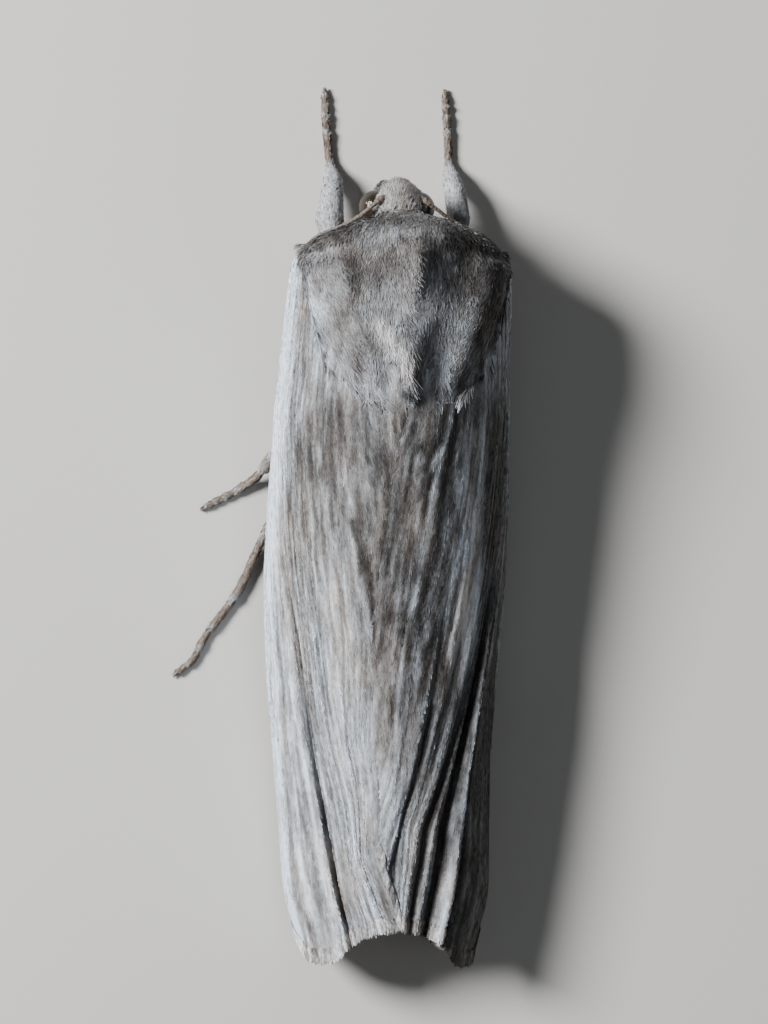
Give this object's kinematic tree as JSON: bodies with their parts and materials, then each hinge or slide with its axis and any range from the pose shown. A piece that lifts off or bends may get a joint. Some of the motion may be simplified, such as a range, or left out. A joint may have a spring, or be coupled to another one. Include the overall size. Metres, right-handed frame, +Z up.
{
  "type": "owlet moth",
  "caption": "Life-size grey owlet moth at rest: long pleated wings folded like a low roof over the body, a pointed hood behind the head, feelers tucked back and banded legs on the floor.",
  "frame": {"origin": "middle of the footprint's box, on the floor", "axes": "+Z up; the head points along -Y and the wing tips along +Y; +X is the moth's left"},
  "size_m": [0.012, 0.0318, 0.0074],
  "materials": {
    "wing_scales": "matt scales",
    "hindwing_scales": "thin scales",
    "body_fur": "soft hair scales",
    "leg_scales": "banded scales",
    "feeler": "satin",
    "eye": "glossy"
  },
  "bodies": {
    "root": {"abdomen": "body_fur", "antenna_left": "feeler", "antenna_right": "feeler", "collar": "body_fur", "eye_left": "eye", "eye_right": "eye", "forewing_left": "wing_scales", "forewing_right": "wing_scales", "head": "body_fur", "hindwing_left": "hindwing_scales", "hindwing_right": "hindwing_scales", "leg_front_left": "leg_scales", "leg_front_right": "leg_scales", "leg_hind_left": "leg_scales", "leg_hind_right": "leg_scales", "leg_middle_left": "leg_scales", "leg_middle_right": "leg_scales", "palp_left": "leg_scales", "palp_right": "leg_scales", "tegula_left": "body_fur", "tegula_right": "body_fur", "thorax": "body_fur", "thorax_crest": "body_fur"}
  },
  "joints": []
}
